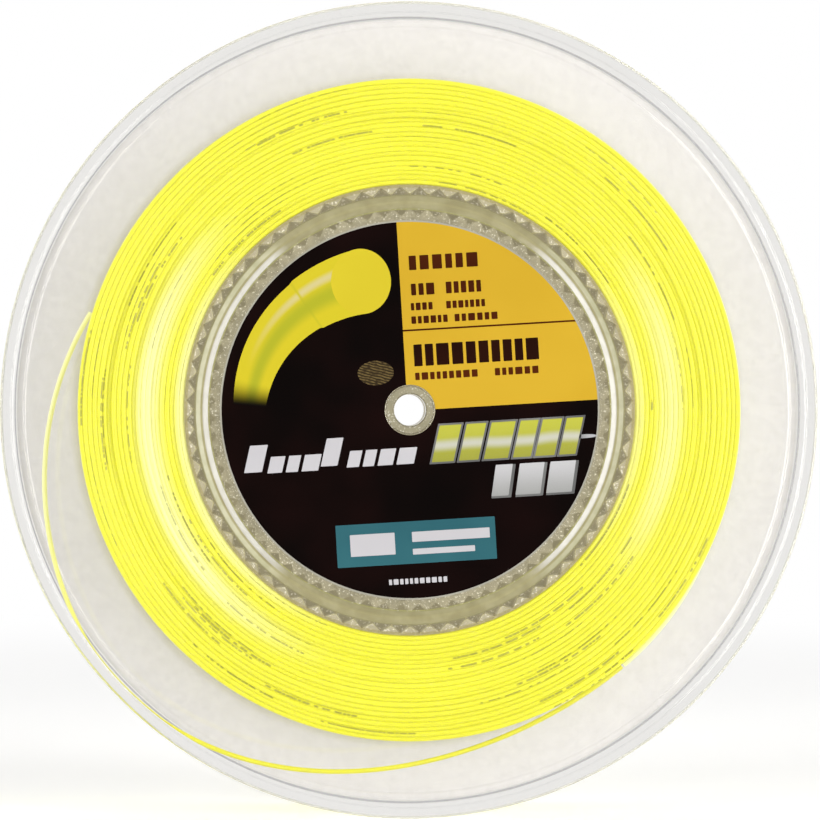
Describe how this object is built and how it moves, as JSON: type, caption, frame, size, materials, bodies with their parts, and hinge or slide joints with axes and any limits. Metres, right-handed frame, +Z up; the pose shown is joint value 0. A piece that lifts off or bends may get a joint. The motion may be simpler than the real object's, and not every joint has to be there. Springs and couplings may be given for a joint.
{
  "type": "string reel",
  "caption": "Clear flanged reel holding a wide pack of wound racket string, with a round printed label at its hub and a loose string end.",
  "frame": {"origin": "on the spindle bore's axis, midway between the flanges", "axes": "+Y along the bore axis, from the front flange to the rear flange; +Z up as the label reads; X across"},
  "size_m": [0.21, 0.0296, 0.21],
  "materials": {
    "clear_plastic": "clear, slightly hazy, glossy",
    "label_print": "gloss-laminated print",
    "seal_foil": "gold foil",
    "string": "smooth, slightly translucent monofilament"
  },
  "bodies": {
    "reel": {"front_flange": "clear_plastic", "rear_flange": "clear_plastic", "drum": "clear_plastic", "front_label": "label_print", "rear_label": "label_print", "seal": "seal_foil", "string_pack": "string", "string_start": "string"},
    "loose_turn": {"loose_turn": "string"},
    "free_end": {"free_end": "string"}
  },
  "joints": [
    {"name": "string_payout", "type": "hinge", "parent": "reel", "child": "loose_turn", "pos_m": [0, 0, 0], "axis": [0, -1, 0], "continuous": true},
    {"name": "end_bend", "type": "hinge", "parent": "loose_turn", "child": "free_end", "pos_m": [-0.0783, -0.00637, -0.06807], "axis": [0, -1, 0], "range_deg": [0, 45]}
  ]
}
